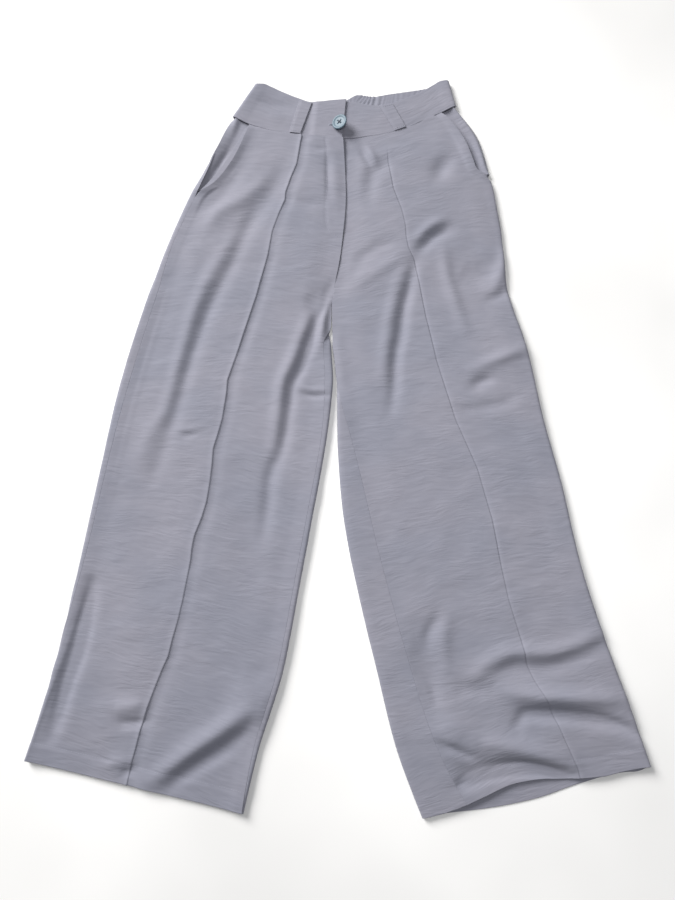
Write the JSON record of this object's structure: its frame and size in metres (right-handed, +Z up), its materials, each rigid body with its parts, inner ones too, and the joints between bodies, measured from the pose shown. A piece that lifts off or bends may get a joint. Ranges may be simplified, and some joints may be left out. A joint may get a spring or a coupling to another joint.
{
  "type": "palazzo pants",
  "caption": "Wide-leg high-waisted trousers in crinkled crepe, laid flat on their back, with a buttoned fly front, slant pockets and an elasticated back waist.",
  "frame": {"origin": "middle of the outline's bounding box, on the surface that the trousers lie on", "axes": "+X towards the wearer's left, +Y towards the waistband, +Z up from the surface, out of the garment's front"},
  "size_m": [0.813, 1.0606, 0.0201],
  "materials": {
    "crepe": "crinkled crepe with a soft sheen",
    "zip": "woven tape with moulded teeth",
    "button": "pearly moulded plastic"
  },
  "bodies": {
    "root": {"front_right": "crepe", "front_left": "crepe", "back_right": "crepe", "back_left": "crepe", "pocket_bearing_right": "crepe", "pocket_bearing_left": "crepe", "pocket_facing_right": "crepe", "waistband_front_right": "crepe", "waistband_front_left": "crepe", "waistband_back": "crepe", "belt_loop_right": "crepe", "belt_loop_left": "crepe", "fly_zip": "zip", "button": "button"}
  },
  "joints": []
}
